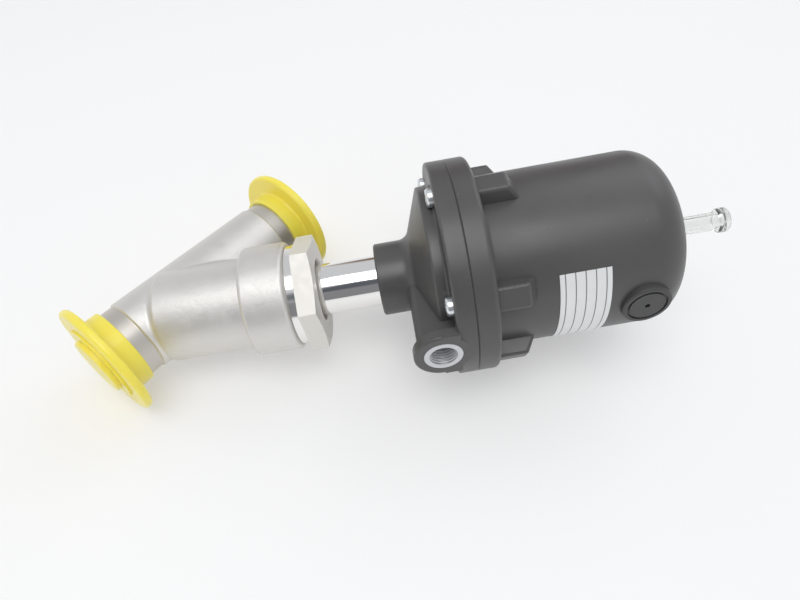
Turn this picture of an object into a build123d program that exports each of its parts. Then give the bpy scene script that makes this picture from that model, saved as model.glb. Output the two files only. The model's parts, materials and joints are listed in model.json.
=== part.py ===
from build123d import *
import math
import os

# Pneumatic angle seat valve, millimetres.
# It lies on its side: +X runs along the pipe from the inlet weld face to the outlet, +Z is up.
# Most pieces are drawn about the stem axis, with Z along the stem, away from the pipe, its zero
# where the stem axis crosses the pipe axis, and local +X leaning towards the outlet.
# Places on the stem are named "...At"; radii end in "R".

# ---- pipe and body casting ----
stemAngle = 45.0            # between pipe axis and stem axis
clocking = 184.5            # direction of the air port about the stem, from the outlet side
inletLength = 30.0          # axes' crossing to inlet weld face
outletLength = 82.0         # axes' crossing to outlet weld face
spigotR = 16.85             # 33.7 mm weld end
pipeWall = 2.0
weldBoreDepth = 15.0        # turned length of each weld end's bore
castBoreInset = 0.65        # rough cast bore behind it, smaller by this
castBefore = 13.0           # casting's full wall before the crossing
castStep = 0.75             # casting around the pipe, larger by this
barrelWall = 3.85           # barrel beyond the weld end's radius
barrelFrom = 4.5            # closed lower end of the barrel
barrelFillet = 1.5
crotchFillet = 2.5          # where barrel and pipe meet
neckWall = 4.05             # neck beyond the barrel's radius
neckFrom = 43.7
neckLength = 19.7
neckFillet = 1.8
chamberWall = 3.4
webFrom = 5.0               # web that carries the seat
webThickness = 4.0
seatBoreR = 12.5
seatLipWidth = 1.8
seatLipHeight = 1.5
shoulderDepth = 17.4        # mouth of the neck to the gasket
neckWallAtThread = 3.75
threadMouth = 0.8
spigotFree = inletLength - castBefore       # turned length of each weld end
castR = spigotR + castStep
castBoreR = spigotR - pipeWall - castBoreInset
barrelR = spigotR + barrelWall
chamberR = barrelR - chamberWall
neckR = barrelR + neckWall
neckTo = neckFrom + neckLength
threadR = neckR - neckWallAtThread
shoulderAt = neckTo - shoulderDepth
webTo = webFrom + webThickness

# ---- union nut, gasket and distance tube ----
gasketThickness = 1.5
gasketLip = 0.4             # gasket's bore beyond the chamber's radius
tubeFlangeThickness = 4.5
tubeR = 11.65
tubeWall = 3.65
tubeChamfer = 0.6
seatGap = 0.3               # radial room of a loose fit between two pieces
nutFit = 0.1                # radial room of the nut in the neck
collarWidth = 1.8           # turned collar beyond the thread's radius
collarHeight = 4.0
collarChamfer = 0.6
hexAcross = 46.0
hexHeight = 8.5
hexTurn = 38.5              # first corner about the stem
hexCrown = 1.0              # height of the rounded corners at the top
hexCut = 0.6                # corners turned off
nutBoreRoom = 2.55          # nut's bore beyond the tube's radius
nutBoreChamfer = 0.8
nutUndercut = 1.2
nutUndercutHeight = 1.6
tubeBoreR = tubeR - tubeWall

# ---- gland in the tube ----
spindleR = 5.0
runFit = 0.04               # running clearance, radial
pressFit = 0.05             # radial room of a fixed bush in its bore
glandBushLength = 9.0
packingCount = 4
packingPitch = 3.2
packingThickness = 3.0
packingVee = 1.05           # depth of the rings' V
washerThickness = 1.5
packingSpringWire = 1.5
packingSpringLength = 22.0
packingSpringTurns = 6.0
upperBushLength = 9.0

# ---- plug ----
plugHolderR = 15.6
plugSkirt = 3.4
plugLand = 2.0              # skirt's thin edge
plugRim = 2.2
plugBackHeight = 6.5
plugNeckR = 8.0
plugNeckHeight = 2.5
sealInset = 0.7             # seat seal inside the holder's skirt
sealThickness = 3.0
retainerInset = 1.9         # retainer inside the seat's bore
retainerThickness = 2.0
plugNutAcross = 13.0
plugNutHeight = 5.0
spindleTipR = 4.0
tipProud = 1.5              # thread beyond the plug's nut
tipChamfer = 0.6
spindleShoulder = 1.5       # spindle's shoulder above the seal
nutChamfer = 0.6
stroke = 14.0
sealR = plugHolderR - sealInset
retainerR = seatBoreR - retainerInset

# ---- actuator: radii that follow the cylinder ----
cylinderR = 38.5
cylinderWall = 3.5
flangeWidth = 9.5           # flange beyond the cylinder
discInset = 0.3             # base's disc inside the cylinder's radius
lipInset = 1.2              # centring lip that enters the base
lipGap = 0.1
screwCircleProud = 3.7
bossInset = 2.7             # bosses inside the rim
portInset = 0.1             # port face inside the rim
boreR = cylinderR - cylinderWall
discR = cylinderR - discInset
lipR = cylinderR - lipInset
rimR = cylinderR + flangeWidth
screwCircleR = cylinderR + screwCircleProud
bossR = rimR - bossInset
portFaceR = rimR - portInset

# ---- actuator base ----
tubeShown = 39.0            # tube between the neck and the hub
hubR = 16.4
hubLength = 15.2            # to where the hub's cylinder meets the cone
hubChamfer = 0.6
hubFillet = 5.0
coneHeight = 7.8
discFillet = 1.2
discHeight = 5.3            # disc's wall below the rim
discRoot = 1.2              # fillet between disc and rim
floorThickness = 2.6        # piston chamber's floor
rimHeight = 8.3
rimChamfer = 1.0
seamChamfer = 0.4
recessDepth = 3.0           # recess for the cylinder's lip
screwNearPort = 26.0        # angle from the port to the nearest screws
portDrop = 1.1              # port axis below the top of the cone
portBossR = 12.2
portBossLength = 4.5
portBossFillet = 1.0
armHalfWidth = 9.0
armDrop = 9.9               # arm's side below the port axis
armFillet = 3.0
insertR = 8.2
insertLength = 13.0
portR = 5.72                # G 1/4 minor radius
portChamfer = 0.7
airWayR = 2.5
airWayInset = 3.5           # air way's riser inside the cylinder's bore
baseBushLength = 3.2
rodSealLength = 2.8
sealLip = 0.6
hubFrom = neckTo + tubeShown
hubTo = hubFrom + hubLength
coneTo = hubTo + coneHeight
rimFrom = coneTo + discHeight
seamAt = rimFrom + rimHeight
floorAt = coneTo + floorThickness
recessFrom = seamAt - recessDepth
tubeTo = floorAt - rodSealLength - baseBushLength
portAt = coneTo - portDrop
armFrom = portAt - armDrop
portBossFrom = portFaceR - portBossLength
airWayAt = boreR - airWayInset

# ---- cylinder ----
flangeHeight = 9.5
flangeRound = 2.0
flangeFillet = 2.0
bossWidth = 10.4
bossHeight = 12.5           # bosses above the flange
bossSlope = 4.0             # height of their sloped end
bossFillet = 1.5
bossRoot = 2.0              # bosses begin inside the cylinder's wall
wallLength = 76.2           # straight wall above the seam
domeR = 15.0
domeCrown = 2.6
ventDrop = 5.2              # vent below the end of the straight wall
ventR = 10.2
ventProud = 1.9
ventDepth = 1.4
ventHoleR = 4.0
ventBoreR = 1.1
ventRound = 0.8
ventGroove = 0.7            # depth
ventGrooveR = 7.35
ventGrooveWidth = 1.0
flangeTo = seamAt + flangeHeight
bossTo = flangeTo + bossHeight
wallEnd = seamAt + wallLength
ventAt = wallEnd - ventDrop

# ---- screws, inserts, ring ----
screwR = 2.5
screwHeadR = 3.9
screwHeadRoom = 0.3
screwHeadHeight = 2.8
screwHeadRound = 1.2
screwHoleR = 2.75
screwLength = 16.5
screwTipChamfer = 0.5
screwSocketR = 2.0
screwSocketDepth = 1.6
screwInsertR = 3.6
screwInsertLength = 9.0
ringWidth = 1.6             # housing ring in its groove
ringDepth = 1.2
ringDrop = 0.7              # groove above the lip's end

# ---- piston ----
pistonRest = 3.0            # piston above the floor when the valve is shut
pistonWeb = 4.0
pistonHeight = 16.0
pistonBevel = 3.0
pistonFit = 0.25
pistonSkirtWall = 4.2
hubClear = 3.8              # piston's hub inside the inner spring
hubHeight = 2.5             # above the web
sealGrooveDrop = 6.0
sealGrooveWidth = 4.0
guideGrooveDrop = 11.5
guideGrooveWidth = 3.0
grooveDepth = 2.2
guideDepth = 1.6
grooveFit = 0.2
pistonNutAcross = 16.0
pistonNutHeight = 6.0
spindleAbove = 25.0         # spindle beyond the piston's web

# ---- springs and travel indicator ----
springSeatThickness = 2.0
springSeatLip = 1.0
springSeatSpigot = 7.0
springSeatDrop = 4.6        # seat below the inside of the dome
springSeatRoom = 2.5
outerSpringInset = 10.5     # mean radius inside the cylinder's bore
outerSpringWire = 4.6
outerSpringTurns = 6.0
springStep = 8.0            # between the two springs' mean radii
innerSpringWire = 3.4
innerSpringTurns = 8.0
springGround = 0.2          # part of the wire ground off each end
indicatorR = 2.0
indicatorFoot = 4.0
indicatorProud = 1.5        # tip above the dome when the valve is shut
indicatorRoom = 11.0        # free bore above the tip when the valve is open
sightStemR = 4.2
sightHeadR = 5.6
sightHeadRound = 1.4
sightStemLength = 24.0
sightHeadHeight = 5.1
sightBoreR = 2.7
sightThreadR = 5.0
sightFlangeR = 6.8
sightFlangeHeight = 2.0
sightRingWidth = 1.2
sightRingDepth = 0.9
outerSpringR = boreR - outerSpringInset
innerSpringR = outerSpringR - springStep
pistonHubR = innerSpringR - innerSpringWire / 2 - hubClear

# ---- pipe caps ----
capCollar = 10.5            # overlap with the weld end
capGap = 0.1
capWall = 1.5
capEdge = 0.3
capBrimWidth = 8.95         # brim beyond the collar
capBrimThickness = 4.0
capBrimInset = 1.0          # brim's outer face to the weld face, outwards
capBrimRound = 1.6
capBrimFillet = 1.2
capDisc = 1.6
capBossInset = 4.95         # boss on the outer face, inside the collar
capBossHeight = 2.2
capBossRound = 0.8
capAir = 0.3
capOuterR = spigotR + capGap + capWall
capBrimR = capOuterR + capBrimWidth
capBossR = capOuterR - capBossInset

# ---- label ----
labelRise = 35.2            # above the seam
labelWidth = 20.8
labelStart = -31.0          # angles about the stem, from the air port
labelSweep = 92.0
labelFacets = 8             # sides of the wedge that cuts the band
labelThickness = 0.2
labelGlue = 0.03            # glue film under it
labelFrom = seamAt + labelRise


# ---- helpers ----
def spun(points, axis=Axis.Z):
    """Solid of revolution of a closed outline given as (radius, height) pairs."""
    outline = make_face(Polyline(*[(r, 0, z) for r, z in points], close=True))
    return revolve(outline, axis)


def tube(outer, inner, low, high):
    return disc(outer, low, high) - disc(inner, low - 1, high + 1)


def disc(radius, low, high):
    return Pos(0, 0, low) * Cylinder(radius, high - low, align=(Align.CENTER, Align.CENTER, Align.MIN))


def hexagon(across, low, high):
    return Pos(0, 0, low) * extrude(RegularPolygon(across / math.sqrt(3), 6), high - low)


def aroundPort(angle):
    return Rot(0, 0, clocking + angle)


def screwPlaces():
    """Three screws on each side of the port: next to it, square to it and opposite."""
    turns = (screwNearPort, 90, 180 - screwNearPort)
    return [aroundPort(side * turn) for side in (1, -1) for turn in turns]


touch = 0.05                # how near an edge must be to count as the one meant


def nearRadius(shape, radius, height):
    """Circular edges of a shape, about the stem axis, at one radius and height."""
    found = []
    for edge in shape.edges().filter_by(GeomType.CIRCLE):
        centre = edge.arc_center
        onAxis = math.hypot(centre.X, centre.Y) < touch
        if onAxis and abs(edge.radius - radius) < touch and abs(centre.Z - height) < touch:
            found.append(edge)
    return found


def coil(meanR, wire, low, high, turns, lefthand=False):
    """Round-wire compression spring, its end coils ground flat."""
    ground = wire * springGround
    pitch = (high - low - 3 * ground) / turns
    path = Pos(0, 0, low - ground) * Helix(pitch, pitch * turns + wire, meanR, lefthand=lefthand)
    section = Plane(origin=path @ 0, z_dir=path % 0) * Circle(wire / 2)
    wireSolid = sweep(section, path=path)
    return wireSolid & disc(meanR + wire, low, high)


# ---- valve body ----
pipeDirection = Vector(math.sin(math.radians(stemAngle)), 0, math.cos(math.radians(stemAngle)))


def alongPipe(distance):
    """Place on the pipe axis, its Z running towards the outlet."""
    return Rot(0, stemAngle, 0) * Pos(0, 0, distance)


def crotchEdges(solid):
    """Edges where the barrel meets the casting around the pipe."""
    found = []
    for edge in solid.edges():
        points = [edge @ t for t in (0.1, 0.5, 0.9)]
        onBarrel = all(abs(math.hypot(p.X, p.Y) - barrelR) < touch for p in points)
        onPipe = all(abs(p.cross(pipeDirection).length - castR) < touch for p in points)
        if onBarrel and onPipe:
            found.append(edge)
    return found


def makeBody():
    pipeBoreR = spigotR - pipeWall
    inletStep = -inletLength + spigotFree
    outletStep = outletLength - spigotFree
    casting = Cylinder(castR, outletStep - inletStep)
    casting = chamfer(casting.edges().filter_by(GeomType.CIRCLE), (castR - spigotR) * 0.9)
    pipe = alongPipe((inletStep + outletStep) / 2) * casting
    spigots = alongPipe((outletLength - inletLength) / 2) * Cylinder(spigotR, inletLength + outletLength)
    barrel = disc(barrelR, barrelFrom, neckFrom + 1)
    barrel = fillet(nearRadius(barrel, barrelR, barrelFrom), barrelFillet)
    neck = disc(neckR, neckFrom, neckTo)
    neck = fillet(neck.edges().filter_by(GeomType.CIRCLE), neckFillet)
    solid = pipe + spigots + barrel + neck
    solid = fillet(crotchEdges(solid), crotchFillet)
    # below the web the inlet bore, above it the outlet bore and the chamber
    reach = inletLength + outletLength
    bore = alongPipe((outletLength - inletLength) / 2) * Cylinder(castBoreR, reach + 1)
    for end in (-inletLength, outletLength):
        solid -= alongPipe(end) * Cylinder(pipeBoreR, 2 * weldBoreDepth)
    below = Pos(0, 0, webFrom - reach) * Box(4 * reach, 4 * reach, 2 * reach)
    above = Pos(0, 0, webTo + reach) * Box(4 * reach, 4 * reach, 2 * reach)
    solid -= bore & below
    solid -= bore & above
    solid -= disc(chamberR, webTo, shoulderAt + 1)
    solid += tube(seatBoreR + seatLipWidth, seatBoreR, webTo - 0.5, webTo + seatLipHeight)
    solid -= disc(seatBoreR, webFrom - 1, webTo + seatLipHeight + 1)
    mouth = spun([(0, shoulderAt), (threadR, shoulderAt), (threadR, neckTo - threadMouth),
                  (threadR + threadMouth, neckTo), (threadR + threadMouth, neckTo + 1), (0, neckTo + 1)])
    return solid - mouth


def makeGasket():
    return tube(threadR - nutFit, chamberR + gasketLip, shoulderAt, shoulderAt + gasketThickness)


# ---- union nut and distance tube ----
flangeFrom = shoulderAt + gasketThickness
nutFrom = flangeFrom + tubeFlangeThickness
collarFrom = neckTo
hexFrom = collarFrom + collarHeight
hexTo = hexFrom + hexHeight


def makeNut():
    collarR = threadR + collarWidth
    nutBoreR = tubeR + nutBoreRoom
    thread = disc(threadR - nutFit, nutFrom, collarFrom + collarHeight / 2)
    relief = tube(threadR + 1, threadR - nutUndercut, neckTo - nutUndercutHeight, neckTo)
    collar = disc(collarR, collarFrom, hexFrom + hexHeight / 2)
    collar = chamfer(nearRadius(collar, collarR, collarFrom), collarChamfer)
    crown = Rot(0, 0, hexTurn) * hexagon(hexAcross, hexFrom, hexTo)
    cornerR = hexAcross / math.sqrt(3)
    fullR = cornerR + hexCut
    cone = spun([(0, hexFrom), (cornerR - hexCut, hexFrom), (fullR, hexFrom + hexCut),
                 (fullR, hexTo - hexCrown), (hexAcross / 2 - hexCut, hexTo), (0, hexTo)])
    nut = thread - relief + collar + (crown & cone)
    nut -= disc(nutBoreR, nutFrom - 1, hexTo + 1)
    return chamfer(nearRadius(nut, nutBoreR, hexTo), nutBoreChamfer)


def makeTube():
    piece = disc(tubeR, flangeFrom, tubeTo) + disc(threadR - seatGap, flangeFrom, nutFrom)
    piece -= disc(tubeBoreR, flangeFrom - 1, tubeTo + 1)
    return chamfer(nearRadius(piece, tubeR, tubeTo), tubeChamfer)


# ---- gland: bush, rings, washer and a static spring inside the tube ----
packingFrom = flangeFrom + glandBushLength
packingTo = packingFrom + packingCount * packingPitch
packingSpringFrom = packingTo + washerThickness
packingSpringTo = packingSpringFrom + packingSpringLength


def makeGland():
    bushR = tubeBoreR - pressFit
    rodR = spindleR + runFit
    pieces = {"gland_bush": tube(bushR, rodR, flangeFrom, packingFrom)}
    for i in range(packingCount):
        low = packingFrom + i * packingPitch
        high = low + packingThickness
        mid = (bushR + rodR) / 2
        side = high - packingVee
        pieces[f"packing_ring_{i + 1}"] = spun([(rodR, low), (mid, low + packingVee), (bushR, low),
                                                (bushR, side), (mid, high), (rodR, side)])
    pieces["packing_washer"] = tube(bushR, rodR, packingTo, packingSpringFrom)
    springR = tubeBoreR - seatGap - packingSpringWire / 2
    pieces["packing_spring"] = coil(springR, packingSpringWire, packingSpringFrom, packingSpringTo,
                                    packingSpringTurns)
    pieces["upper_bush"] = tube(bushR, rodR, packingSpringTo, packingSpringTo + upperBushLength)
    return pieces


# ---- spindle and plug ----
sealFrom = webTo + seatLipHeight
sealTo = sealFrom + sealThickness
holderTo = sealTo + plugBackHeight
retainerFrom = sealFrom - retainerThickness
pistonFrom = floorAt + pistonRest
pistonTo = pistonFrom + pistonHeight
pistonWebTo = pistonFrom + pistonWeb
pistonNutFrom = pistonWebTo + hubHeight
spindleTo = pistonWebTo + spindleAbove


def makeSpindle():
    low = retainerFrom - plugNutHeight - tipProud
    rod = disc(spindleR, sealTo + spindleShoulder, pistonFrom) + disc(spindleTipR, low, spindleTo)
    return chamfer(nearRadius(rod, spindleTipR, low), tipChamfer)


def makePlugHolder():
    skirtR = sealR + nutFit
    skirtTo = sealTo - plugSkirt + plugLand - sealInset
    body = spun([(0, sealTo), (skirtR, sealTo), (skirtR, skirtTo), (plugHolderR, skirtTo),
                 (plugHolderR, sealTo + plugRim), (plugNeckR + tipProud, holderTo - plugNeckHeight),
                 (plugNeckR, holderTo), (0, holderTo)])
    body -= disc(spindleR, sealTo + spindleShoulder, holderTo + 1)
    return body - disc(spindleTipR, sealFrom, holderTo)


def makeSeatSeal():
    return tube(sealR, spindleTipR, sealFrom, sealTo)


def makeRetainer():
    return tube(retainerR, spindleTipR, retainerFrom, sealFrom)


def lockNut(across, low, high, bore):
    cornerR = across / math.sqrt(3)
    cone = spun([(0, low), (across / 2, low), (cornerR, low + nutChamfer), (cornerR, high - nutChamfer),
                 (across / 2, high), (0, high)])
    return (hexagon(across, low, high) & cone) - disc(bore, low - 1, high + 1)


# ---- actuator base ----
def makeBase():
    outline = [(tubeR + pressFit, hubFrom), (hubR - hubChamfer, hubFrom), (hubR, hubFrom + hubChamfer),
               (hubR, hubTo), (discR, coneTo), (discR, rimFrom), (rimR, rimFrom),
               (rimR, seamAt - seamChamfer), (rimR - seamChamfer, seamAt),
               (lipR + lipGap, seamAt), (lipR + lipGap, recessFrom), (boreR, recessFrom),
               (boreR, floorAt), (tubeBoreR, floorAt), (tubeBoreR, tubeTo), (tubeR + pressFit, tubeTo)]
    base = spun(outline)
    base = fillet(nearRadius(base, hubR, hubTo), hubFillet)
    base = fillet(nearRadius(base, discR, coneTo), discFillet)
    base = fillet(nearRadius(base, discR, rimFrom), discRoot)
    base = fillet(nearRadius(base, rimR, rimFrom), rimChamfer)
    # air port: arm from the hub to the rim, a round boss at its end and the boss's pad on the rim
    outward = Rot(0, 90, 0)
    boss = Pos(portBossFrom, 0, portAt) * outward * Cylinder(
        portBossR, portBossLength, align=(Align.CENTER, Align.CENTER, Align.MIN))
    boss = fillet(boss.edges().filter_by(GeomType.CIRCLE).sort_by(Axis.X)[-1:], portBossFillet)
    pad = Pos((portBossFrom + portFaceR) / 2, 0, (portAt + seamAt - seamChamfer) / 2)
    pad *= Box(portBossLength, 2 * portBossR, seamAt - seamChamfer - portAt)
    pad -= tube(2 * rimR, rimR, rimFrom + rimChamfer, seamAt + 1)
    arm = Pos(0, -armHalfWidth, armFrom) * Box(portBossFrom + 1, 2 * armHalfWidth, rimFrom + 1 - armFrom,
                                               align=(Align.MIN, Align.MIN, Align.MIN))
    arm = fillet(arm.edges().filter_by(Axis.X).sort_by(Axis.Z)[:2], armFillet)
    keepOut = disc(tubeR + pressFit, hubFrom - 1, tubeTo)
    keepOut += disc(tubeBoreR, tubeTo - 1, floorAt + 1) + disc(boreR, floorAt, seamAt + 1)
    keepOut += disc(lipR + lipGap, recessFrom, seamAt + 1)
    base += aroundPort(0) * (boss + pad + arm) - keepOut
    scallop = Pos(screwCircleR, 0, 0) * disc(screwHeadR + screwHeadRoom, hubTo, rimFrom)
    hole = Pos(screwCircleR, 0, 0) * disc(screwHoleR, hubTo, seamAt + 1)
    for place in screwPlaces():
        base -= place * (hole + scallop)
    pocket = Pos(portFaceR - insertLength, 0, portAt) * outward * Cylinder(
        insertR + pressFit, insertLength + 1, align=(Align.CENTER, Align.CENTER, Align.MIN))
    run = portFaceR - insertLength - airWayAt
    way = Pos(airWayAt, 0, portAt) * outward * Cylinder(
        airWayR, run + 1, align=(Align.CENTER, Align.CENTER, Align.MIN))
    riser = Pos(airWayAt, 0, 0) * disc(airWayR, portAt - airWayR, floorAt + 1)
    return base - aroundPort(0) * (pocket + way + riser)


def makePortInsert():
    piece = Cylinder(insertR, insertLength, align=(Align.CENTER, Align.CENTER, Align.MIN))
    piece -= Cylinder(portR, 3 * insertLength)
    piece = chamfer(piece.edges().filter_by(GeomType.CIRCLE).sort_by(Axis.Z)[-2:], portChamfer)
    return aroundPort(0) * Pos(portFaceR - insertLength, 0, portAt) * Rot(0, 90, 0) * piece


def makeBaseBush():
    return tube(tubeBoreR - pressFit, spindleR + runFit, tubeTo, tubeTo + baseBushLength)


def makeRodSeal():
    low = tubeTo + baseBushLength
    rodR = spindleR + runFit
    outer = tubeBoreR - pressFit
    mid = (rodR + outer) / 2
    return spun([(rodR, low), (outer, low), (outer, floorAt), (mid + sealLip, floorAt),
                 (mid, low + rodSealLength / 2), (mid - sealLip, floorAt), (rodR, floorAt)])


# ---- cylinder ----
def domeOutline(offset):
    """Half outline of the domed end, from the wall to the axis, set in by an offset."""
    wall = cylinderR - offset
    corner = domeR - offset
    top = wallEnd + domeR - offset
    start = Vector(wall, 0, wallEnd)
    turn = Vector(wall - corner * (1 - math.sqrt(0.5)), 0, wallEnd + corner * math.sqrt(0.5))
    end = Vector(wall - corner, 0, top)
    summit = Vector(0, 0, top + domeCrown)
    half = (wall - corner) / 2
    crownR = ((wall - corner) ** 2 + domeCrown ** 2) / (2 * domeCrown)
    between = Vector(half, 0, top + domeCrown - crownR + math.sqrt(crownR ** 2 - half ** 2))
    return ThreePointArc(start, turn, end) + ThreePointArc(end, between, summit), start, summit


domeTop = wallEnd + domeR + domeCrown
domeInside = domeTop - cylinderWall
lipFrom = recessFrom + lipGap
ringAt = lipFrom + ringDrop


def domed(offset, low):
    curve, start, summit = domeOutline(offset)
    sides = Polyline(summit, (0, 0, low), (start.X, 0, low), start)
    return revolve(make_face(curve + sides), Axis.Z)


def makeCylinder():
    shell = domed(0, seamAt)
    flange = spun([(0, seamAt), (rimR - seamChamfer, seamAt), (rimR, seamAt + seamChamfer),
                   (rimR, flangeTo), (0, flangeTo)])
    shell += fillet(nearRadius(flange, rimR, flangeTo), flangeRound)
    shell = fillet(nearRadius(shell, cylinderR, flangeTo), flangeFillet)
    inwards = cylinderR - bossRoot
    slopeTo = bossTo + bossSlope * (bossR - inwards) / (bossR - cylinderR)
    low = flangeTo - bossRoot
    side = make_face(Polyline((inwards, 0, low), (bossR, 0, low), (bossR, 0, bossTo),
                              (inwards, 0, slopeTo), close=True))
    boss = extrude(side, bossWidth / 2, dir=(0, 1, 0), both=True)
    soft = [e for e in boss.edges() if e.center().X > inwards + 1 and e.center().Z > flangeTo - 1]
    boss = fillet(soft, bossFillet)
    inside = disc(inwards, seamAt, slopeTo + 1)
    for place in screwPlaces():
        shell += place * boss - inside
    shell += disc(lipR, lipFrom, seamAt + 1)
    shell -= domed(cylinderWall, lipFrom - 1)
    # pockets for the threaded inserts, the vent and the sight cap
    pocket = Pos(screwCircleR, 0, 0) * disc(screwInsertR + pressFit, seamAt - 1, seamAt + screwInsertLength)
    drill = Pos(screwCircleR, 0, 0) * disc(screwHoleR, seamAt, rimFrom + screwLength + 1)
    for place in screwPlaces():
        shell -= place * (pocket + drill)
    seatR = cylinderR - ventDepth
    ventSeat = Pos(seatR, 0, ventAt) * Rot(0, 90, 0) * Cylinder(
        ventR + pressFit, cylinderR, align=(Align.CENTER, Align.CENTER, Align.MIN))
    ventHole = Pos(0, 0, ventAt) * Rot(0, 90, 0) * Cylinder(
        ventHoleR, 2 * cylinderR, align=(Align.CENTER, Align.CENTER, Align.MIN))
    shell -= aroundPort(0) * (ventSeat + ventHole)
    shell -= disc(sightThreadR + pressFit, domeInside - cylinderWall, domeTop + 1)
    shell -= disc(sightThreadR + sightRingWidth, domeTop - sightRingDepth, domeTop + 1)
    return shell - tube(cylinderR, lipR - ringDepth, ringAt, ringAt + ringWidth)


def makeHousingRing():
    return tube(lipR + lipGap, lipR - ringDepth, ringAt + pressFit, ringAt + ringWidth - pressFit)


def makeVentPlug():
    seatR = cylinderR - ventDepth
    top = cylinderR + ventProud
    face = Cylinder(ventR, top - seatR, align=(Align.CENTER, Align.CENTER, Align.MIN))
    face = fillet(face.edges().filter_by(GeomType.CIRCLE).sort_by(Axis.Z)[-1:], ventRound)
    grooveFrom = top - seatR - ventGroove
    groove = tube(ventGrooveR + ventGrooveWidth, ventGrooveR, grooveFrom, top)
    stem = disc(ventHoleR - pressFit, ventDepth - cylinderWall, ventDepth)
    piece = face - groove + stem - disc(ventBoreR, -cylinderWall, top)
    return aroundPort(0) * Pos(seatR, 0, ventAt) * Rot(0, 90, 0) * piece


# ---- screws ----
def makeScrews():
    top = rimFrom - screwHeadHeight
    head = disc(screwHeadR, top, rimFrom)
    head = fillet(nearRadius(head, screwHeadR, top), screwHeadRound)
    screw = head + disc(screwR, rimFrom - screwHeadHeight / 2, rimFrom + screwLength)
    screw = chamfer(nearRadius(screw, screwR, rimFrom + screwLength), screwTipChamfer)
    screw -= Pos(0, 0, top - 1) * extrude(RegularPolygon(screwSocketR, 6), 1 + screwSocketDepth)
    insert = tube(screwInsertR, screwR, seamAt, seamAt + screwInsertLength)
    pieces = {}
    for i, place in enumerate(screwPlaces()):
        pieces[f"cover_screw_{i + 1}"] = place * Pos(screwCircleR, 0, 0) * screw
        pieces[f"screw_insert_{i + 1}"] = place * Pos(screwCircleR, 0, 0) * insert
    return pieces


# ---- piston ----
sealGrooveAt = pistonFrom + sealGrooveDrop
sealGrooveTo = sealGrooveAt + sealGrooveWidth
guideGrooveAt = pistonFrom + guideGrooveDrop
guideGrooveTo = guideGrooveAt + guideGrooveWidth


def makePiston():
    outerR = boreR - pistonFit
    innerR = outerR - pistonSkirtWall
    sealFloorR = outerR - grooveDepth
    guideFloorR = outerR - guideDepth
    return spun([(spindleTipR, pistonFrom), (outerR - pistonBevel, pistonFrom),
                 (outerR, pistonFrom + pistonBevel), (outerR, sealGrooveAt), (sealFloorR, sealGrooveAt),
                 (sealFloorR, sealGrooveTo), (outerR, sealGrooveTo), (outerR, guideGrooveAt),
                 (guideFloorR, guideGrooveAt), (guideFloorR, guideGrooveTo), (outerR, guideGrooveTo),
                 (outerR, pistonTo), (innerR, pistonTo), (innerR, pistonWebTo), (pistonHubR, pistonWebTo),
                 (pistonHubR, pistonNutFrom), (spindleTipR, pistonNutFrom)])


def makePistonSeal():
    outerR = boreR - runFit
    innerR = boreR - pistonFit - grooveDepth
    low = sealGrooveAt + grooveFit
    high = sealGrooveTo - grooveFit
    mid = (outerR + innerR) / 2
    return spun([(innerR, low), (mid - sealLip, low), (mid, (low + high) / 2), (mid + sealLip, low),
                 (outerR, low), (outerR - grooveFit, high), (innerR, high)])


def makeGuideRing():
    innerR = boreR - pistonFit - guideDepth
    return tube(boreR - runFit, innerR, guideGrooveAt + grooveFit, guideGrooveTo - grooveFit)


# ---- springs, seats and sight cap ----
def makeSprings():
    seatTo = domeInside - springSeatDrop
    seatFrom = seatTo - springSeatThickness
    seatBoreR = sightThreadR + springSeatRoom
    seat = tube(outerSpringR + outerSpringWire / 2 + springSeatLip, seatBoreR, seatFrom, seatTo)
    spigotOuter = innerSpringR - innerSpringWire / 2 - seatGap
    spigot = tube(spigotOuter, seatBoreR, seatTo - springSeatSpigot, seatTo)
    outer = coil(outerSpringR, outerSpringWire, pistonWebTo, seatFrom, outerSpringTurns)
    inner = coil(innerSpringR, innerSpringWire, pistonWebTo, seatFrom, innerSpringTurns, True)
    return {"spring_seat": seat + spigot, "outer_spring": outer, "inner_spring": inner}


def makeIndicator():
    foot = disc(spindleTipR, spindleTo, spindleTo + indicatorFoot)
    return foot + disc(indicatorR, spindleTo, domeTop + indicatorProud)


def makeSightCap():
    stemTo = domeTop + sightStemLength
    foot = disc(sightThreadR, domeInside, domeTop) + disc(sightFlangeR, domeTop, domeTop + sightFlangeHeight)
    stem = disc(sightStemR, domeTop, stemTo + sightHeadHeight / 2)
    head = disc(sightHeadR, stemTo, stemTo + sightHeadHeight)
    head = fillet(head.edges().filter_by(GeomType.CIRCLE), sightHeadRound)
    cap = foot + stem + head
    bore = disc(sightBoreR, domeInside - 1, domeTop + indicatorProud + stroke + indicatorRoom)
    return cap - bore


def makeSightRing():
    return tube(sightThreadR + sightRingWidth, sightThreadR + pressFit, domeTop - sightRingDepth, domeTop)


# ---- label ----
def makeLabel():
    inner = cylinderR + labelGlue
    band = tube(inner + labelThickness, inner, labelFrom, labelFrom + labelWidth)
    reach = 2 * cylinderR
    points = [(0, 0)]
    for i in range(labelFacets + 1):
        turn = math.radians(labelStart + labelSweep * i / labelFacets)
        points.append((reach * math.cos(turn), reach * math.sin(turn)))
    wedge = Pos(0, 0, labelFrom - 1) * extrude(make_face(Polyline(*points, close=True)), labelWidth + 2)
    return aroundPort(0) * wedge & band


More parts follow.
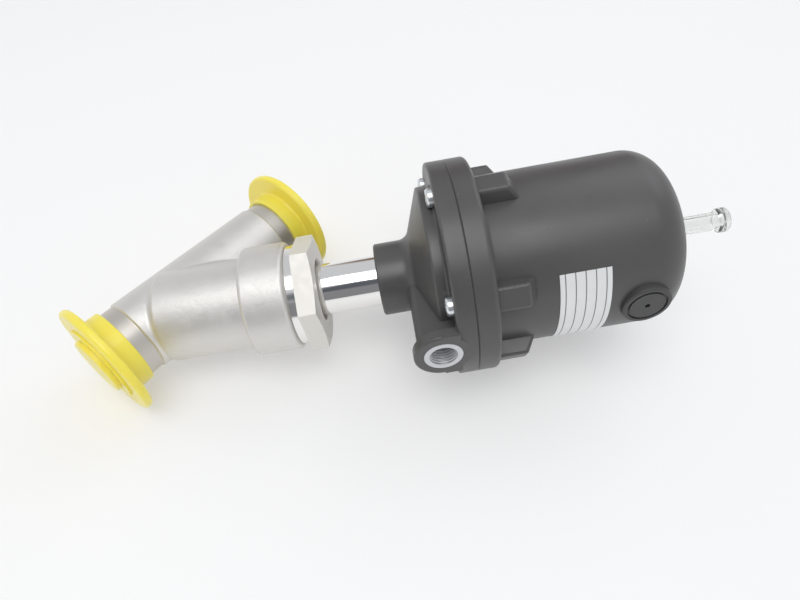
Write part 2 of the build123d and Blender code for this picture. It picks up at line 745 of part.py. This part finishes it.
# ---- pipe caps ----
def makeCap():
    """Push-on cap, its Z running from the weld face towards the valve."""
    brimTo = capBrimThickness - capBrimInset
    face = -capAir - capDisc
    cap = disc(capOuterR, face, capCollar)
    cap = chamfer(nearRadius(cap, capOuterR, capCollar), capEdge)
    brim = disc(capBrimR, -capBrimInset, brimTo)
    brim = fillet(brim.edges().filter_by(GeomType.CIRCLE), capBrimRound)
    cap += brim
    cap = fillet(nearRadius(cap, capOuterR, brimTo), capBrimFillet)
    boss = disc(capBossR, face - capBossHeight, -capAir)
    boss = fillet(nearRadius(boss, capBossR, face - capBossHeight), capBossRound)
    return cap + boss - disc(spigotR + capGap, -capAir, capCollar + 1)


# ---- placing and writing ----
# The valve rests on three points: both cap brims and the rim of the actuator.
rimContact = rimFrom + rimChamfer
reachToRim = math.hypot(rimR, rimContact)
stemRise = math.atan2(rimR, rimContact) - math.asin(capBrimR / reachToRim)
planeTilt = math.degrees(math.asin(math.sin(stemRise) / math.sin(math.radians(stemAngle))))


def placed(shape):
    """From the stem frame to the lying valve, its inlet weld face at the origin."""
    return Pos(inletLength, 0, 0) * Rot(90 - planeTilt, 0, 0) * Rot(0, 90 - stemAngle, 0) * shape


def makeAll():
    nodes = {"valve_body": makeBody(), "body_gasket": makeGasket(), "union_nut": makeNut(),
             "spacer_tube": makeTube()}
    nodes.update(makeGland())
    nodes["actuator_base"] = makeBase()
    nodes["port_insert"] = makePortInsert()
    nodes["base_bush"] = makeBaseBush()
    nodes["rod_seal"] = makeRodSeal()
    nodes["housing_ring"] = makeHousingRing()
    nodes["actuator_cylinder"] = makeCylinder()
    nodes["vent_plug"] = makeVentPlug()
    nodes.update(makeScrews())
    nodes.update(makeSprings())
    nodes["sight_cap"] = makeSightCap()
    nodes["sight_ring"] = makeSightRing()
    nodes["label"] = makeLabel()
    nodes["spindle"] = makeSpindle()
    nodes["plug_holder"] = makePlugHolder()
    nodes["seat_seal"] = makeSeatSeal()
    nodes["seal_retainer"] = makeRetainer()
    nodes["plug_nut"] = lockNut(plugNutAcross, retainerFrom - plugNutHeight, retainerFrom, spindleTipR)
    nodes["piston"] = makePiston()
    nodes["piston_seal"] = makePistonSeal()
    nodes["piston_guide_ring"] = makeGuideRing()
    pistonNutTo = pistonNutFrom + pistonNutHeight
    nodes["piston_nut"] = lockNut(pistonNutAcross, pistonNutFrom, pistonNutTo, spindleTipR)
    nodes["indicator_pin"] = makeIndicator()
    nodes["inlet_cap"] = alongPipe(-inletLength) * makeCap()
    nodes["outlet_cap"] = alongPipe(outletLength) * Rot(180, 0, 0) * makeCap()
    return nodes


os.makedirs("parts", exist_ok=True)
for name, shape in makeAll().items():
    export_step(placed(shape), f"parts/{name}.step")
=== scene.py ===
import bmesh
import bpy
import json
import math
import numpy as np
from mathutils import Matrix, Vector


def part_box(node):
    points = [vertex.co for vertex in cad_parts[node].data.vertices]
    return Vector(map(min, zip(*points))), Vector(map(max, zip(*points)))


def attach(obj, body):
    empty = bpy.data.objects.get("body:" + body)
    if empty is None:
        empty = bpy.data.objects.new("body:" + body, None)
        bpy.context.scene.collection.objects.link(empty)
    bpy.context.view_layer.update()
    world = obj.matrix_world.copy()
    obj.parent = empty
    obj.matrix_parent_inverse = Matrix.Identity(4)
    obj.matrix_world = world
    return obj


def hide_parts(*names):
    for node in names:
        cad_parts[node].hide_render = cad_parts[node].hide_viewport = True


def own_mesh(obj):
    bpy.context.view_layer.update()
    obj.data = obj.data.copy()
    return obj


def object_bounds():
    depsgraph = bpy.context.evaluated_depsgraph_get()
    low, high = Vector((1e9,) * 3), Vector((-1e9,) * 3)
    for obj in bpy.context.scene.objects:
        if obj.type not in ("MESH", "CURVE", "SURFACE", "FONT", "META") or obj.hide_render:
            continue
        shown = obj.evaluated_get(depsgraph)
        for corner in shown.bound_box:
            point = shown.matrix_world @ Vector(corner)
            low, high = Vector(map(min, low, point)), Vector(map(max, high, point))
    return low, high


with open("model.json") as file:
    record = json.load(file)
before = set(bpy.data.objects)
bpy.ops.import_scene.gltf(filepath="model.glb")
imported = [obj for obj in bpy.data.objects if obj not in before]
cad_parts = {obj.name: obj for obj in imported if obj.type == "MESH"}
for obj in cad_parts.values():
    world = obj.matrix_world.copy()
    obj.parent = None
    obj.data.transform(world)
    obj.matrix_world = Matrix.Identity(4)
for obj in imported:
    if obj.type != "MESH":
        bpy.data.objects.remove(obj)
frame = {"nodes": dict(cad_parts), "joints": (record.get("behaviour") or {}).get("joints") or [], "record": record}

# Angle seat valve on a pale table. Everything is in metres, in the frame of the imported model.
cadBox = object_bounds()
nodes = frame["nodes"]
joints = {joint["name"]: joint for joint in frame["joints"]}
mounts = {mount["name"]: mount for mount in frame["record"]["mounts"]}
print("scene: model loaded,", len(nodes), "nodes")

# Two axes: the pipe's, along x, and the stem's. stemFrame has z along the stem and x to the outlet side.
stemAxis = Vector(joints["spindle_lift"]["axis"]).normalized()
pipeAxis = Vector((1.0, 0.0, 0.0))
crossing = Vector(joints["actuator_swivel"]["pos_m"])
stemSide = (pipeAxis - stemAxis * pipeAxis.dot(stemAxis)).normalized()
stemFrame = Matrix((stemSide, stemAxis.cross(stemSide), stemAxis)).transposed()
portAxis = Vector(mounts["air_port"]["axis"]).normalized()
portFrame = Matrix((stemAxis.cross(portAxis), stemAxis, portAxis)).transposed()


# Vertices of a node in a turned frame: each point less the origin, measured along the frame's columns.
def pointsIn(node, turn, origin):
    mesh = nodes[node].data
    flat = np.empty(3 * len(mesh.vertices))
    mesh.vertices.foreach_get("co", flat)
    return (flat.reshape(-1, 3) - np.array(origin)) @ np.array(turn)


# The way back: columns of the frame times the measures, plus the origin.
def placed(points, turn, origin):
    return points @ np.array(turn).T + np.array(origin)


def addNode(tree, kind, inputs=None, **settings):
    node = tree.nodes.new(kind)
    for key, value in settings.items():
        setattr(node, key, value)
    for key, value in (inputs or {}).items():
        if isinstance(value, bpy.types.NodeSocket):
            tree.links.new(value, node.inputs[key])
        else:
            node.inputs[key].default_value = value
    return node


def mathOf(tree, operation, a, b=0.0):
    return addNode(tree, "ShaderNodeMath", {0: a, 1: b}, operation=operation).outputs[0]


def rangeOf(tree, value, low, high, toLow, toHigh):
    node = addNode(tree, "ShaderNodeMapRange", {0: value, 1: low, 2: high, 3: toLow, 4: toHigh},
                   interpolation_type="SMOOTHSTEP")
    return node.outputs[0]


def noiseOf(tree, vector, size, detail=2.0, roughness=0.5):
    node = addNode(tree, "ShaderNodeTexNoise",
                   {"Vector": vector, "Scale": 1.0 / size, "Detail": detail, "Roughness": roughness})
    return node.outputs["Fac"]


def mixOf(tree, factor, first, second):
    return addNode(tree, "ShaderNodeMix", {0: factor, 2: first, 3: second}, data_type="FLOAT").outputs[0]


def toneOf(tree, factor, first, second):
    ends = [tone if isinstance(tone, bpy.types.NodeSocket) else (*tone, 1.0) for tone in (first, second)]
    node = addNode(tree, "ShaderNodeMix", {0: factor, 6: ends[0], 7: ends[1]}, data_type="RGBA")
    return node.outputs[2]


# Object coordinates turned so that z runs along the frame's z, zero at its origin.
def turnedPlace(tree, turn, origin):
    place = addNode(tree, "ShaderNodeTexCoord").outputs["Object"]
    turned = addNode(tree, "ShaderNodeMapping", {"Vector": place}, vector_type="TEXTURE")
    turned.inputs["Location"].default_value = origin
    turned.inputs["Rotation"].default_value = turn.to_euler()
    return turned.outputs[0]


# Tool marks: noise that depends only on z and on the distance from the z axis, which is the square root of x
# squared plus y squared.
def ringsOf(tree, vector, size):
    part = addNode(tree, "ShaderNodeSeparateXYZ", {0: vector}).outputs
    squares = [mathOf(tree, "MULTIPLY", part[axis], part[axis]) for axis in (0, 1)]
    away = mathOf(tree, "SQRT", mathOf(tree, "ADD", *squares))
    flat = addNode(tree, "ShaderNodeCombineXYZ", {0: away, 1: part[2]}).outputs[0]
    return noiseOf(tree, flat, size, 3.0, 0.6)


# Thin specks where the cells of a Voronoi pattern are nearest their centres.
def specksOf(tree, vector, size, reach):
    cells = addNode(tree, "ShaderNodeTexVoronoi", {"Vector": vector, "Scale": 1.0 / size})
    return rangeOf(tree, cells.outputs["Distance"], reach * 0.5, reach, 1.0, 0.0)


def startMaterial(name):
    material = bpy.data.materials.new(name)
    material.use_nodes = True
    tree = material.node_tree
    return material, tree, tree.nodes["Principled BSDF"]


def bumpInto(tree, shader, height, distance, before=None):
    inputs = {"Height": height, "Distance": distance, "Strength": 1.0}
    if before is not None:
        inputs["Normal"] = before
    normal = addNode(tree, "ShaderNodeBump", inputs).outputs[0]
    tree.links.new(normal, shader.inputs["Normal"])
    return normal


def setShader(shader, values):
    for key, value in values.items():
        shader.inputs[key].default_value = value


# The part of a noise's values over which roughness drifts from its low end to its high end.
patchSpan = (0.3, 0.7)


# Two tones in soft patches, roughness that drifts with them, tool marks or specks where given, and fine grain.
def plainFinish(name, look, turn=stemFrame, origin=crossing):
    material, tree, shader = startMaterial(name)
    place = turnedPlace(tree, turn, origin)
    patch = noiseOf(tree, place, look["patch"], 3.0)
    tone = toneOf(tree, patch, look["tone"], look["tone2"])
    normal = None
    if "speck" in look:
        speck = specksOf(tree, place, look["speckSize"], look["speckReach"])
        tone = toneOf(tree, speck, tone, look["speck"])
    if "rings" in look:
        normal = bumpInto(tree, shader, ringsOf(tree, place, look["rings"]), look["ringHeight"])
    tree.links.new(tone, shader.inputs["Base Color"])
    tree.links.new(rangeOf(tree, patch, *patchSpan, *look["rough"]), shader.inputs["Roughness"])
    setShader(shader, look.get("shader", {}))
    bumpInto(tree, shader, noiseOf(tree, place, look["grain"], 2.0), look["grainHeight"], normal)
    return material


finishes = {
    "turned_stainless": {"tone": (0.77, 0.75, 0.71), "tone2": (0.86, 0.84, 0.79), "patch": 0.003,
                         "rough": (0.50, 0.62), "rings": 0.0004, "ringHeight": 0.00002,
                         "grain": 0.0006, "grainHeight": 0.00006, "shader": {"Metallic": 0.5}},
    "polished_stainless": {"tone": (0.86, 0.85, 0.83), "tone2": (0.92, 0.91, 0.90), "patch": 0.03,
                           "rough": (0.06, 0.11), "rings": 0.0006, "ringHeight": 0.000008,
                           "grain": 0.002, "grainHeight": 0.000004, "shader": {"Metallic": 1.0}},
    "bronze": {"tone": (0.55, 0.38, 0.18), "tone2": (0.66, 0.48, 0.25), "patch": 0.01,
               "rough": (0.25, 0.4), "rings": 0.0004, "ringHeight": 0.00002,
               "grain": 0.0006, "grainHeight": 0.00001, "shader": {"Metallic": 1.0}},
    "spring_steel": {"tone": (0.30, 0.30, 0.32), "tone2": (0.42, 0.41, 0.40), "patch": 0.012,
                     "rough": (0.3, 0.45), "grain": 0.0005, "grainHeight": 0.00001,
                     "shader": {"Metallic": 1.0}},
    "zinc_screw": {"tone": (0.72, 0.76, 0.82), "tone2": (0.84, 0.86, 0.85), "patch": 0.0025,
                   "rough": (0.22, 0.34), "grain": 0.0005, "grainHeight": 0.00001,
                   "shader": {"Metallic": 1.0}},
    "seal_rubber": {"tone": (0.018, 0.018, 0.019), "tone2": (0.03, 0.03, 0.031), "patch": 0.005,
                    "rough": (0.5, 0.65), "grain": 0.0004, "grainHeight": 0.00001},
    "ptfe_white": {"tone": (0.80, 0.80, 0.77), "tone2": (0.86, 0.86, 0.84), "patch": 0.006,
                   "rough": (0.35, 0.5), "grain": 0.0006, "grainHeight": 0.000006},
    "piston_aluminium": {"tone": (0.62, 0.62, 0.64), "tone2": (0.70, 0.70, 0.71), "patch": 0.02,
                         "rough": (0.25, 0.35), "rings": 0.0005, "ringHeight": 0.00003,
                         "grain": 0.0008, "grainHeight": 0.000006, "shader": {"Metallic": 1.0}},
    "indicator_plastic": {"tone": (0.62, 0.05, 0.04), "tone2": (0.72, 0.08, 0.06), "patch": 0.01,
                          "rough": (0.3, 0.4), "grain": 0.0006, "grainHeight": 0.000006},
    "black_polyamide": {"tone": (0.064, 0.0625, 0.062), "tone2": (0.079, 0.0775, 0.077), "patch": 0.018,
                        "rough": (0.35, 0.44), "grain": 0.00055, "grainHeight": 0.00003,
                        "speck": (0.20, 0.20, 0.20), "speckSize": 0.009, "speckReach": 0.03,
                        "shader": {"Specular IOR Level": 0.7}},
    "black_vent": {"tone": (0.045, 0.045, 0.046), "tone2": (0.058, 0.058, 0.059), "patch": 0.006,
                   "rough": (0.38, 0.48), "grain": 0.0004, "grainHeight": 0.00002},
    "clear_plastic": {"tone": (0.97, 0.98, 0.97), "tone2": (0.94, 0.95, 0.93), "patch": 0.01,
                      "rough": (0.06, 0.12), "grain": 0.002, "grainHeight": 0.00001,
                      "shader": {"Transmission Weight": 0.95, "IOR": 1.49}},
    "yellow_cap": {"tone": (0.99, 0.84, 0.12), "tone2": (0.98, 0.79, 0.09), "patch": 0.03,
                   "rough": (0.28, 0.34), "grain": 0.004, "grainHeight": 0.00002,
                   "shader": {"Subsurface Weight": 0.4, "Subsurface Radius": (1.0, 0.8, 0.2),
                              "Subsurface Scale": 0.004, "Coat Weight": 0.2, "Coat Roughness": 0.2}},
}

castLook = {"tone": (0.70, 0.685, 0.66), "tone2": (0.79, 0.775, 0.75), "patch": 0.009,
            "blast": 0.00042, "blastHeight": 0.00009, "wave": 0.0045, "waveHeight": 0.00018,
            "turnedFrom": 0.017, "turned": (0.60, 0.57, 0.53), "rough": (0.40, 0.50), "turnedRough": 0.36,
            "metal": 0.8, "blend": 0.0003}


# Bead-blasted casting, with smoother, browner weld ends at both ends of the pipe.
def castFinish(look):
    material, tree, shader = startMaterial("castStainless")
    place = addNode(tree, "ShaderNodeTexCoord").outputs["Object"]
    along = addNode(tree, "ShaderNodeSeparateXYZ", {0: place}).outputs[0]
    low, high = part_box("valve_body")
    nearest = mathOf(tree, "MINIMUM", mathOf(tree, "SUBTRACT", along, low.x),
                     mathOf(tree, "SUBTRACT", high.x, along))
    isCast = rangeOf(tree, nearest, look["turnedFrom"] - look["blend"], look["turnedFrom"] + look["blend"],
                     0.0, 1.0)
    patch = noiseOf(tree, place, look["patch"], 4.0, 0.6)
    tone = toneOf(tree, isCast, look["turned"], toneOf(tree, patch, look["tone"], look["tone2"]))
    tree.links.new(tone, shader.inputs["Base Color"])
    rough = mixOf(tree, isCast, look["turnedRough"], rangeOf(tree, patch, *patchSpan, *look["rough"]))
    tree.links.new(rough, shader.inputs["Roughness"])
    setShader(shader, {"Metallic": look["metal"]})
    blast = mathOf(tree, "MULTIPLY", noiseOf(tree, place, look["blast"], 2.0, 0.7), isCast)
    wave = mathOf(tree, "MULTIPLY", noiseOf(tree, place, look["wave"], 2.0), isCast)
    bumpInto(tree, shader, blast, look["blastHeight"], bumpInto(tree, shader, wave, look["waveHeight"]))
    return material


nutLook = {"tone": (0.77, 0.75, 0.71), "tone2": (0.86, 0.84, 0.79), "patch": 0.003, "rough": (0.50, 0.62),
           "collar": (0.88, 0.87, 0.85), "collarRough": 0.10, "metal": 0.5, "collarMetal": 1.0,
           "corner": 0.97, "blend": 0.0002,
           "grain": 0.0006, "grainHeight": 0.00006}


# The union nut: a matt hexagon and, below it along the stem, a polished collar. The hexagon begins at the
# lowest point whose distance from the stem is at least the given share of the corners' distance.
def nutFinish(look):
    material, tree, shader = startMaterial("unionNut")
    place = turnedPlace(tree, stemFrame, crossing)
    points = pointsIn("union_nut", stemFrame, crossing)
    away = np.hypot(points[:, 0], points[:, 1])
    hexFrom = float(points[away > look["corner"] * away.max(), 2].min())
    part = addNode(tree, "ShaderNodeSeparateXYZ", {0: place}).outputs
    isHex = rangeOf(tree, part[2], hexFrom - look["blend"], hexFrom, 0.0, 1.0)
    patch = noiseOf(tree, place, look["patch"], 3.0)
    tone = toneOf(tree, isHex, look["collar"], toneOf(tree, patch, look["tone"], look["tone2"]))
    tree.links.new(tone, shader.inputs["Base Color"])
    rough = mixOf(tree, isHex, look["collarRough"], rangeOf(tree, patch, *patchSpan, *look["rough"]))
    tree.links.new(rough, shader.inputs["Roughness"])
    tree.links.new(mixOf(tree, isHex, look["collarMetal"], look["metal"]), shader.inputs["Metallic"])
    grain = mathOf(tree, "MULTIPLY", noiseOf(tree, place, look["grain"], 2.0), isHex)
    bumpInto(tree, shader, grain, look["grainHeight"])
    return material


foilLook = {"tone": (0.80, 0.81, 0.81), "tone2": (0.86, 0.87, 0.87), "ink": (0.20, 0.20, 0.21),
            "patch": 0.004, "rulings": 4, "inkHalf": 0.00022, "margin": 0.0022, "soften": 0.2,
            "grain": 0.0006, "grainHeight": 0.00001, "shader": {"Roughness": 0.34, "Metallic": 0.15}}


# Satin foil, left blank but for ruled lines round the cylinder. The height along the stem, less the label's
# foot, is cut into equal rows, and ink shows within inkHalf of each row's edge.
def foilFinish(look):
    material, tree, shader = startMaterial("labelFoil")
    place = turnedPlace(tree, stemFrame, crossing)
    patch = noiseOf(tree, place, look["patch"], 2.0)
    foil = toneOf(tree, patch, look["tone"], look["tone2"])
    points = pointsIn("label", stemFrame, crossing)
    foot, top = points[:, 2].min() + look["margin"], points[:, 2].max() - look["margin"]
    rows = (top - foot) / look["rulings"]
    part = addNode(tree, "ShaderNodeSeparateXYZ", {0: place}).outputs
    rise = mathOf(tree, "DIVIDE", mathOf(tree, "SUBTRACT", part[2], float(foot)), float(rows))
    offset = mathOf(tree, "ABSOLUTE", mathOf(tree, "SUBTRACT", rise, mathOf(tree, "ROUND", rise)))
    half = look["inkHalf"] / float(rows)
    ink = rangeOf(tree, offset, half * (1 - look["soften"]), half * (1 + look["soften"]), 1.0, 0.0)
    tree.links.new(toneOf(tree, ink, foil, look["ink"]), shader.inputs["Base Color"])
    setShader(shader, look["shader"])
    bumpInto(tree, shader, noiseOf(tree, place, look["grain"], 2.0), look["grainHeight"])
    return material


brassLook = {"tone": (0.60, 0.61, 0.64), "tone2": (0.68, 0.69, 0.71), "patch": 0.006, "rough": (0.34, 0.44),
             "rings": 0.0005, "ringHeight": 0.00001, "grain": 0.0006, "grainHeight": 0.000008,
             "shader": {"Metallic": 0.85}}
portPoints = pointsIn("port_insert", portFrame, crossing)
portMiddle = (portPoints.max(0) + portPoints.min(0)) / 2
portOrigin = Vector(placed(np.array([portMiddle[0], portMiddle[1], portPoints[:, 2].min()]), portFrame, crossing))

made = {name: plainFinish(name, look) for name, look in finishes.items()}
made["cast_stainless"] = castFinish(castLook)
made["label_foil"] = foilFinish(foilLook)
made["nickel_brass"] = plainFinish("nickel_brass", brassLook, portFrame, portOrigin)
for item in frame["record"]["subparts"]:
    mesh = nodes[item["node"]].data
    mesh.materials.clear()
    mesh.materials.append(made[item["material_slot"]])
nodes["union_nut"].data.materials[0] = nutFinish(nutLook)
print("scene: finishes on", len(nodes), "nodes")


# Points closer than a ten-thousandth of a millimetre become one, and the faces are turned outwards.
mergeWithin = 1e-7


def closeMesh(mesh):
    shape = bmesh.new()
    shape.from_mesh(mesh)
    bmesh.ops.remove_doubles(shape, verts=shape.verts, dist=mergeWithin)
    bmesh.ops.recalc_face_normals(shape, faces=shape.faces)
    shape.to_mesh(mesh)
    shape.free()


# A grid of points as one mesh: quads join each point to the next along both parameters, round from the last
# column to the first, and from the last row to the first unless the rows end in poles, which are merged.
def wrappedSurface(name, grid, material, poles=False):
    rows, columns = grid.shape[:2]
    index = np.arange(rows * columns).reshape(rows, columns)
    along, around = np.roll(index, -1, 0), np.roll(index, -1, 1)
    faces = np.stack([index, around, np.roll(along, -1, 1), along], -1)
    faces = (faces[:-1] if poles else faces).reshape(-1, 4)
    mesh = bpy.data.meshes.new(name)
    mesh.from_pydata(grid.reshape(-1, 3), [], faces)
    if poles:
        closeMesh(mesh)
        faces = mesh.polygons
    mesh.polygons.foreach_set("use_smooth", np.ones(len(faces), dtype=bool))
    mesh.materials.append(material)
    piece = bpy.data.objects.new(name, mesh)
    bpy.context.scene.collection.objects.link(piece)
    return piece


threadLook = {"pitch": 0.001337, "depth": 0.00058, "chamfer": 0.00022, "hold": 1e-5, "mid": 0.5, "steep": 0.7,
              "around": 96, "perPitch": 12}


# The air port's insert: a profile in radius and depth carried round the port's axis. In the bore the radius
# is the smallest one plus the thread's depth times a clipped cosine of depth over pitch less the angle as a
# part of a turn, and the thread fades in and out over one pitch at the ends. Two points a hair apart, the
# hold, keep each edge of the rim sharp.
def makePortThread(look):
    points = pointsIn("port_insert", portFrame, portOrigin)
    away = np.hypot(points[:, 0], points[:, 1])
    outer, bore, length = away.max(), away.min(), points[:, 2].max()
    edge, hold = look["chamfer"], look["hold"]
    steps = int((length - edge) / look["pitch"] * look["perPitch"])
    inside = np.linspace(length - edge, 0.0, steps)
    turns = np.arange(look["around"]) / look["around"]
    wave = np.cos(2 * math.pi * (inside[:, None] / look["pitch"] - turns[None, :]))
    fade = np.clip(np.minimum(inside, length - edge - inside) / look["pitch"], 0.0, 1.0)
    tooth = look["depth"] * fade[:, None] * np.clip(look["mid"] + look["steep"] * wave, 0.0, 1.0)
    rim = [(outer, 0.0), (outer, length / 2), (outer, length - edge - hold), (outer, length - edge),
           (outer - edge, length), (outer - edge - hold, length), (bore + edge + hold, length),
           (bore + edge, length)]
    outside = np.repeat(np.array(rim)[:, None, :], look["around"], 1)
    threads = np.stack([bore + tooth, np.repeat(inside[:, None], look["around"], 1)], -1)
    profile = np.concatenate([outside, threads])
    angle = 2 * math.pi * turns[None, :]
    grid = np.stack([profile[..., 0] * np.cos(angle), profile[..., 0] * np.sin(angle), profile[..., 1]], -1)
    return wrappedSurface("port_thread", placed(grid, portFrame, portOrigin), made["nickel_brass"])


portThread = makePortThread(threadLook)
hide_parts("port_insert")
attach(portThread, "actuator")
print("scene: port thread,", len(portThread.data.polygons), "faces")

springs = {"outer_spring": {"turns": 6.0, "hand": 1.0, "endTurns": 0.9},
           "inner_spring": {"turns": 8.0, "hand": -1.0, "endTurns": 0.9}}
springGrid = {"perTurn": 40, "around": 14}


# A compression spring: a circle of the wire's radius carried along a helix about the stem. The helix rises
# with a pitch of one wire in its end coils, and evenly between them. The ends close in poles.
def makeSpring(node, look):
    points = pointsIn(node, stemFrame, crossing)
    away = np.hypot(points[:, 0], points[:, 1])
    wire, middle = away.max() - away.min(), (away.max() + away.min()) / 2
    foot, top = points[:, 2].min(), points[:, 2].max()
    turns = np.linspace(0.0, look["turns"], int(look["turns"] * springGrid["perTurn"]) + 1)
    lie = look["endTurns"]
    climb = top - foot - wire
    rise = foot + wire / 2 + np.interp(turns, [0.0, lie, look["turns"] - lie, look["turns"]],
                                       [0.0, lie * wire, climb - lie * wire, climb])
    angle = 2 * math.pi * look["hand"] * turns
    outward = np.stack([np.cos(angle), np.sin(angle), np.zeros_like(angle)], -1)
    path = middle * outward
    path[:, 2] = rise
    run = np.gradient(path, axis=0)
    run /= np.linalg.norm(run, axis=1, keepdims=True)
    across = np.cross(run, outward)
    turn = 2 * math.pi * np.arange(springGrid["around"]) / springGrid["around"]
    ring = outward[:, None, :] * np.cos(turn)[None, :, None] + across[:, None, :] * np.sin(turn)[None, :, None]
    grid = path[:, None, :] + wire / 2 * ring
    ends = [np.repeat(path[at][None, None, :], springGrid["around"], 1) for at in (0, -1)]
    grid = np.concatenate([ends[0], grid, ends[1]])
    piece = wrappedSurface("live_" + node, placed(grid, stemFrame, crossing), made["spring_steel"], poles=True)
    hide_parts(node)
    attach(piece, "actuator")
    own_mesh(piece)
    return piece


for name, look in springs.items():
    spring = makeSpring(name, look)
    print("scene:", spring.name, len(spring.data.polygons), "faces")

table = {"half": 3.0, "tone": (0.96, 0.955, 0.95), "tone2": (0.94, 0.945, 0.95), "drift": 0.3, "white": 0.35,
         "shader": {"Roughness": 0.6, "Specular IOR Level": 0.2}}
low, high = cadBox
centre = (low + high) / 2
bpy.ops.mesh.primitive_plane_add(size=2 * table["half"], location=(centre.x, centre.y, low.z))
floor = bpy.context.object
floor.name = "table_top"
floorMaterial, tree, shader = startMaterial("paleTable")
drift = noiseOf(tree, addNode(tree, "ShaderNodeTexCoord").outputs["Object"], table["drift"], 2.0)
tree.links.new(toneOf(tree, drift, table["tone"], table["tone2"]), shader.inputs["Base Color"])
setShader(shader, table["shader"])
rays = addNode(tree, "ShaderNodeLightPath").outputs
isSeen = mathOf(tree, "MAXIMUM", rays["Is Camera Ray"],
                mathOf(tree, "MAXIMUM", rays["Is Glossy Ray"], rays["Is Transmission Ray"]))
white = addNode(tree, "ShaderNodeEmission")
mixed = addNode(tree, "ShaderNodeMixShader", {0: mathOf(tree, "MULTIPLY", isSeen, table["white"]),
                                              1: shader.outputs[0], 2: white.outputs[0]})
tree.links.new(mixed.outputs[0], tree.nodes["Material Output"].inputs["Surface"])
floor.data.materials.append(floorMaterial)


# Unit vector back from the aim to a viewer who looks along that azimuth, from that height.
def towards(azimuth, elevation):
    a, e = math.radians(azimuth), math.radians(elevation)
    return Vector((math.sin(a) * math.cos(e), -math.cos(a) * math.cos(e), math.sin(e)))


# The room: bright walls that turn a little dimmer and cooler above, with a few soft dark shapes that polished
# metal shows. The camera sees a plain background instead.
room = {"wall": (1.2, 1.19, 1.17), "above": (0.94, 0.96, 1.0), "blend": (0.02, 0.5), "strength": 0.66,
        "seen": (0.93, 0.935, 0.94),
        "shapes": [{"azimuth": 126.0, "elevation": 10.0, "span": (0.93, 0.97), "tone": (0.30, 0.22, 0.17)},
                   {"azimuth": -54.0, "elevation": 46.0, "span": (0.955, 0.985), "tone": (0.16, 0.17, 0.20)},
                   {"azimuth": -54.0, "elevation": 14.0, "span": (0.90, 0.96), "tone": (0.36, 0.36, 0.38)}]}
world = bpy.data.worlds.new("studio")
bpy.context.scene.world = world
world.use_nodes = True
tree = world.node_tree
direction = addNode(tree, "ShaderNodeTexCoord").outputs["Generated"]
rise = addNode(tree, "ShaderNodeSeparateXYZ", {0: direction}).outputs[2]
light = toneOf(tree, rangeOf(tree, rise, *room["blend"], 0.0, 1.0), room["wall"], room["above"])
for shape in room["shapes"]:
    middle = towards(shape["azimuth"], shape["elevation"])
    near = addNode(tree, "ShaderNodeVectorMath", {0: direction, 1: middle},
                   operation="DOT_PRODUCT").outputs["Value"]
    light = toneOf(tree, rangeOf(tree, near, *shape["span"], 0.0, 1.0), light, shape["tone"])
background = tree.nodes["Background"]
tree.links.new(light, background.inputs["Color"])
background.inputs["Strength"].default_value = room["strength"]
plain = addNode(tree, "ShaderNodeBackground", {"Color": (*room["seen"], 1.0), "Strength": 1.0})
isSeen = addNode(tree, "ShaderNodeLightPath").outputs["Is Camera Ray"]
mixed = addNode(tree, "ShaderNodeMixShader", {0: isSeen, 1: background.outputs[0], 2: plain.outputs[0]})
tree.links.new(mixed.outputs[0], tree.nodes["World Output"].inputs["Surface"])

lamps = {
    "ceiling": {"azimuth": -75.0, "rise": 74.0, "away": 1.2, "size": (0.9, 0.7), "power": 5.6,
                "tone": (1.0, 0.99, 0.97)},
    "window": {"azimuth": 90.0, "rise": 45.0, "away": 1.2, "size": (0.8, 0.6), "power": 1.8,
               "tone": (0.95, 0.97, 1.0)},
}
shot = {"azimuth": -54.2, "elevation": 52.9, "roll": 3.2, "lens": 25.8, "away": 0.258, "clip": 0.01,
        "aim": (0.0703, -0.0846, 0.0142)}  # aim is measured from where the two axes cross

for name, lamp in lamps.items():
    data = bpy.data.lights.new(name, "AREA")
    data.shape = "RECTANGLE"
    data.size, data.size_y = lamp["size"]
    data.energy = lamp["power"]
    data.color = lamp["tone"]
    back = towards(lamp["azimuth"], lamp["rise"])
    holder = bpy.data.objects.new(name, data)
    holder.location = centre + back * lamp["away"]
    holder.rotation_euler = (-back).to_track_quat("-Z", "Y").to_euler()
    bpy.context.scene.collection.objects.link(holder)

back = towards(shot["azimuth"], shot["elevation"])
cameraData = bpy.data.cameras.new("camera")
cameraData.lens = shot["lens"]
cameraData.clip_start = shot["clip"]
camera = bpy.data.objects.new("camera", cameraData)
camera.location = crossing + Vector(shot["aim"]) + back * shot["away"]
turn = (-back).to_track_quat("-Z", "Y").to_matrix() @ Matrix.Rotation(math.radians(shot["roll"]), 3, "Z")
camera.rotation_euler = turn.to_euler()
bpy.context.scene.collection.objects.link(camera)
bpy.context.scene.camera = camera
bpy.context.scene.view_settings.view_transform = "Standard"
print("scene: table, lamps and camera")
